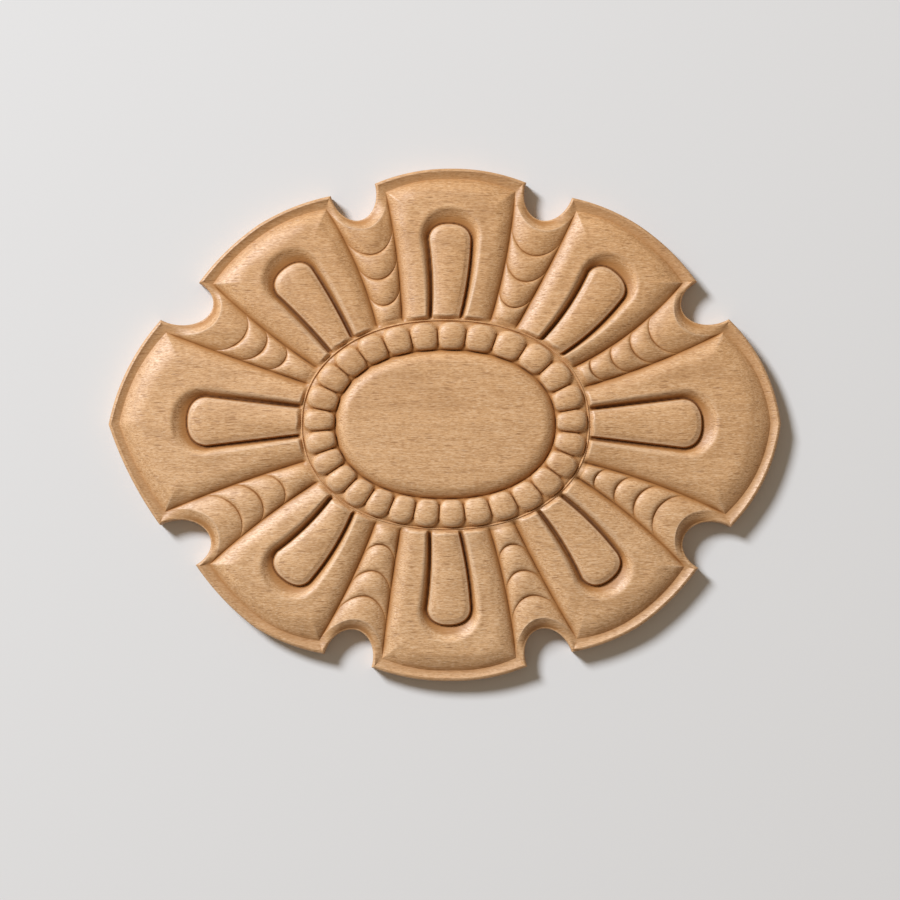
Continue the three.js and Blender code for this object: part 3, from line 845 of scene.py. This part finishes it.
def wax_and_shade_kept(vertex):
    if vertex.co.z <= even_below * MM:
        return 0.0
    past_ring = ring_reach(vertex) - 1
    kept = mix(kept_in_ring, 1.0, smooth(past_ring / ring_fade))
    kept *= mix(kept_on_rim, 1.0, smooth(max(past_ring / rim_fades[0], -past_ring / rim_fades[1])))
    reach = math.hypot(2 * vertex.co.x / onlay_length, 2 * vertex.co.y / onlay_width) / MM
    return kept * mix(1.0, kept_on_lip, smooth((reach - lip_start) / lip_fade))


def value_at(grid, vertex):
    column = vertex.co.x / MM / cell + grid_columns / 2
    row = vertex.co.y / MM / cell + grid_rows / 2
    c, r = int(column), int(row)
    low = mix(grid[r, c], grid[r, c + 1], column - c)
    high = mix(grid[r + 1, c], grid[r + 1, c + 1], column - c)
    return mix(low, high, row - r)


kept_wax_and_shade = [wax_and_shade_kept(vertex) for vertex in onlay.data.vertices]
for name, radius_mm in neighbourhoods.items():
    depths = depth_below(radius_mm)
    marks = onlay.data.attributes.new(name, "FLOAT", "POINT")
    for vertex, kept in zip(onlay.data.vertices, kept_wax_and_shade):
        marks.data[vertex.index].value = kept * value_at(depths, vertex)

# Beech, bare and lightly waxed
# Pale pinkish-tan wood with the grain along the oval, short dark ray flecks, faint growth rings that show
# as contour lines on the slopes, and a brown tone in every groove, partly left by the wax and partly painted
# shade.
warm_wood = (0.70, 0.409, 0.190)
pale_wood = (0.772, 0.468, 0.232)
streak_brown = (0.51, 0.28, 0.122)
fibre_brown = (0.44, 0.23, 0.095)
fibre_pale = (0.77, 0.525, 0.32)
pore_brown = (0.38, 0.185, 0.07)
pore_pale = (0.82, 0.585, 0.375)
plus_y_tone = (0.93, 0.865, 0.77)
late_wood_brown = (0.36, 0.175, 0.065)
long_fleck_brown = (0.29, 0.12, 0.036)
short_fleck_brown = (0.33, 0.15, 0.05)
edge_brown = (0.37, 0.21, 0.10)
# Painted shade, broad, where the carving lies below its wide surroundings, mostly towards the ring
basin_shade = (0.40, 0.185, 0.055)
# Wax tone and painted shade in the wider hollows, such as the coves round the tongues
hollow_wax_and_shade = (0.41, 0.175, 0.043)
# Wax tone and painted shade along the narrow grooves
groove_wax_and_shade = (0.33, 0.125, 0.022)
# Near-black painted shade at the bottom of the deepest narrow recesses
deep_shade = (0.085, 0.024, 0.004)
# Paler high arrises: rubbed wear and painted highlight
rubbed_and_highlight_pale = (0.74, 0.57, 0.40)
pore_depth = 0.06

beech = bpy.data.materials.new("beech")
beech.use_nodes = True
nodes = beech.node_tree.nodes
links = beech.node_tree.links
wood = nodes["Principled BSDF"]


def add_node(kind, inputs=(), **settings):
    """A node with these settings. An input is a value or the output of another node."""
    node = nodes.new(kind)
    for name, value in settings.items():
        setattr(node, name, value)
    for socket, value in dict(inputs).items():
        if isinstance(value, bpy.types.NodeSocket):
            links.new(value, node.inputs[socket])
        else:
            node.inputs[socket].default_value = value
    return node


def calc(operation, *values):
    return add_node("ShaderNodeMath", dict(enumerate(values)), operation=operation).outputs[0]


def ramp(value, low, high, start=0.0, end=1.0):
    inputs = {"Value": value, "From Min": low, "From Max": high, "To Min": start, "To Max": end}
    return add_node("ShaderNodeMapRange", inputs, interpolation_type="SMOOTHSTEP").outputs["Result"]


def tint(factor, base, colour, blend="MIX"):
    node = add_node("ShaderNodeMix", data_type="RGBA", blend_type=blend)
    for socket, value in ((0, factor), (6, base), (7, colour)):
        if isinstance(value, bpy.types.NodeSocket):
            links.new(value, node.inputs[socket])
        else:
            node.inputs[socket].default_value = value if socket == 0 else (*value, 1)
    return node.outputs[2]


place = add_node("ShaderNodeTexCoord").outputs["Object"]


def stretched(scale, offset=(0, 0, 0)):
    """Object coordinates in millimetres times these scales, which draw a pattern out along the grain."""
    scale = [value / MM for value in scale]
    return add_node("ShaderNodeMapping", {"Vector": place, "Scale": scale, "Location": offset}).outputs[0]


def grain_noise(scale, detail=2.0, roughness=0.5, offset=(0, 0, 0)):
    inputs = {"Vector": stretched(scale, offset), "Scale": 1.0, "Detail": detail, "Roughness": roughness}
    return add_node("ShaderNodeTexNoise", inputs).outputs["Fac"]


# Tone of the bare wood: broad mottle, long streaks, fine fibres and short pores
mottle = grain_noise((0.035, 0.07, 0.2), 3.0, 0.55)
streak = grain_noise((0.03, 0.55, 0.9), 3.0, 0.6, (4, 9, 2))
fibre = grain_noise((0.2, 3.2, 3.2), 3.0, 0.65)
dashes = grain_noise((0.9, 4.6, 4.6), 2.0, 0.7, (7, 2, 5))
base = tint(ramp(mottle, 0.3, 0.7), warm_wood, pale_wood)
base = tint(ramp(streak, 0.35, 0.7, 0.0, 0.4), base, streak_brown)
base = tint(ramp(fibre, 0.42, 0.68, 0.0, 0.5), base, fibre_brown)
base = tint(ramp(fibre, 0.5, 0.34, 0.0, 0.45), base, fibre_pale)
base = tint(ramp(dashes, 0.5, 0.34, 0.0, 0.6), base, pore_brown)
base = tint(ramp(dashes, 0.52, 0.68, 0.0, 0.6), base, pore_pale)

# Growth rings: nearly level sheets that wander a little, so they surface as lines across the slopes. The
# wood's colour is a little darker and warmer towards the +Y side.
side_wander = 30.0
sheet_lean = 0.06
sheet_wander = 5.0
sheets_per_mm = 0.55
wander = grain_noise((0.012, 0.035, 0.12), 2.0, 0.5, (2, 5, 8))
parts = add_node("ShaderNodeSeparateXYZ", {"Vector": stretched((1, 1, 1))})
plus_y_side = calc("ADD", parts.outputs["Y"], calc("MULTIPLY", wander, side_wander))
base = tint(ramp(plus_y_side, -35.0, 75.0), base, plus_y_tone, "MULTIPLY")
level = calc("ADD", parts.outputs["Z"], calc("MULTIPLY", parts.outputs["Y"], sheet_lean))
level = calc("ADD", level, calc("MULTIPLY", wander, sheet_wander))
sheet = calc("FRACT", calc("MULTIPLY", level, sheets_per_mm))
late_wood = ramp(calc("ABSOLUTE", calc("SUBTRACT", sheet, 0.5)), 0.16, 0.0, 0.0, 0.22)
base = tint(late_wood, base, late_wood_brown)


def flecks(scale, size, share, offset):
    """Short dark dashes along the grain: the middles of some cells of a drawn-out cell pattern."""
    inputs = {"Vector": stretched(scale, offset), "Scale": 1.0, "Randomness": 1.0}
    cells = add_node("ShaderNodeTexVoronoi", inputs, feature="F1")
    chance = add_node("ShaderNodeSeparateColor", {"Color": cells.outputs["Color"]}).outputs["Red"]
    there = calc("LESS_THAN", chance, share)
    return calc("MULTIPLY", there, ramp(cells.outputs["Distance"], size, size * 0.4))


# Ray flecks, in two lengths
long_flecks = flecks((0.22, 1.5, 0.8), 0.34, 0.34, (0, 0, 0))
short_flecks = flecks((0.45, 2.4, 1.5), 0.4, 0.45, (11, 3, 7))
base = tint(calc("MULTIPLY", long_flecks, 0.55), base, long_fleck_brown)
base = tint(calc("MULTIPLY", short_flecks, 0.42), base, short_fleck_brown)

# Wax tone and painted shade in the hollows, broad painted shade in the basin, and rubbed wear with painted
# highlight on the arrises
in_recess = add_node("ShaderNodeAttribute", attribute_name="recess").outputs["Fac"]
in_hollow = add_node("ShaderNodeAttribute", attribute_name="hollow").outputs["Fac"]
in_basin = add_node("ShaderNodeAttribute", attribute_name="basin").outputs["Fac"]
edge_tone = add_node("ShaderNodeAttribute", attribute_name="edge_tone").outputs["Fac"]
base = tint(calc("MULTIPLY", edge_tone, 0.2), base, edge_brown)
base = tint(ramp(in_basin, -0.1, 1.3, 0.0, 0.5), base, basin_shade)
base = tint(ramp(in_hollow, -0.02, 0.5, 0.0, 0.75), base, hollow_wax_and_shade)
base = tint(ramp(in_recess, 0.03, 0.17, 0.0, 0.75), base, groove_wax_and_shade)
base = tint(ramp(in_recess, 0.1, 0.36, 0.0, 0.82), base, deep_shade)
base = tint(ramp(in_recess, -0.02, -0.12, 0.0, 0.25), base, rubbed_and_highlight_pale)
links.new(base, wood.inputs["Base Color"])

# A soft sheen that is duller along the fibres and in the grooves, and pores that catch the light a little
gloss = ramp(fibre, 0.3, 0.7, 0.42, 0.54)
links.new(calc("ADD", gloss, ramp(in_recess, 0.02, 0.15, 0.0, 0.4)), wood.inputs["Roughness"])
wood.inputs["Specular IOR Level"].default_value = 0.5
pores = calc("ADD", calc("MULTIPLY", fibre, 0.5), calc("MULTIPLY", dashes, 0.5))
pores = calc("ADD", pores, calc("MULTIPLY", long_flecks, -0.6))
pores = calc("ADD", pores, calc("MULTIPLY", short_flecks, -0.5))
bump = add_node("ShaderNodeBump", {"Height": pores, "Strength": 0.8, "Distance": pore_depth * MM})
links.new(bump.outputs["Normal"], wood.inputs["Normal"])
onlay.data.materials.clear()
onlay.data.materials.append(beech)

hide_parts("rosette_onlay")
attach(onlay, "root")

# Floor
# A plain pale board under the onlay, which isn't part of the object. Its sizes are in metres.
floor_size = 4.0
floor_gap = 0.0002
bpy.ops.mesh.primitive_plane_add(size=floor_size, location=(0, 0, 0))
floor = bpy.context.object
floor.name = "floor"
for vertex in floor.data.vertices:
    vertex.co.z = -floor_gap
paint = bpy.data.materials.new("pale_paint")
paint.use_nodes = True
paint.node_tree.nodes["Principled BSDF"].inputs["Base Color"].default_value = (0.72, 0.71, 0.69, 1)
paint.node_tree.nodes["Principled BSDF"].inputs["Roughness"].default_value = 0.8
floor.data.materials.append(paint)
floor.select_set(False)

# Studio light
# One broad lamp low to the upper left draws the relief, and the pale room fills the shadows. The lamp's
# sizes are in metres.
lamp_distance = 3.0
lamp_bearing = math.radians(138)
lamp_elevation = math.radians(38)
lamp_data = bpy.data.lights.new("lamp", "AREA")
lamp_data.shape = "DISK"
lamp_data.size = 0.85
lamp_data.energy = 117
lamp_data.color = (0.92, 0.97, 1.05)
lamp = bpy.data.objects.new("lamp", lamp_data)
bpy.context.scene.collection.objects.link(lamp)
flat = math.cos(lamp_elevation)
lamp.location.x = flat * math.cos(lamp_bearing) * lamp_distance
lamp.location.y = flat * math.sin(lamp_bearing) * lamp_distance
lamp.location.z = math.sin(lamp_elevation) * lamp_distance
lamp.rotation_euler = lamp.location.to_track_quat("Z", "Y").to_euler()

world = bpy.data.worlds.new("room")
world.use_nodes = True
world.node_tree.nodes["Background"].inputs["Color"].default_value = (1.0, 0.83, 0.65, 1)
world.node_tree.nodes["Background"].inputs["Strength"].default_value = 0.26
bpy.context.scene.world = world
bpy.context.scene.view_settings.view_transform = "Standard"

# Camera
# It looks down on the onlay from a little below the picture's middle, with a long lens.
camera_distance = 720.0
camera_tilt = math.radians(3)
frame_width = 228.7
camera_data = bpy.data.cameras.new("camera")
camera_data.sensor_width = 36.0
camera_data.lens = 36.0 * camera_distance / frame_width
camera_data.clip_end = 50
camera = bpy.data.objects.new("camera", camera_data)
bpy.context.scene.collection.objects.link(camera)
aim_x = 1.14
aim_y = -6.15
camera.location.x = aim_x * MM
camera.location.y = -math.sin(camera_tilt) * camera_distance * MM
camera.location.z = math.cos(camera_tilt) * camera_distance * MM
camera.rotation_euler = (math.atan2(aim_y * MM - camera.location.y, camera.location.z), 0, 0)
bpy.context.scene.camera = camera
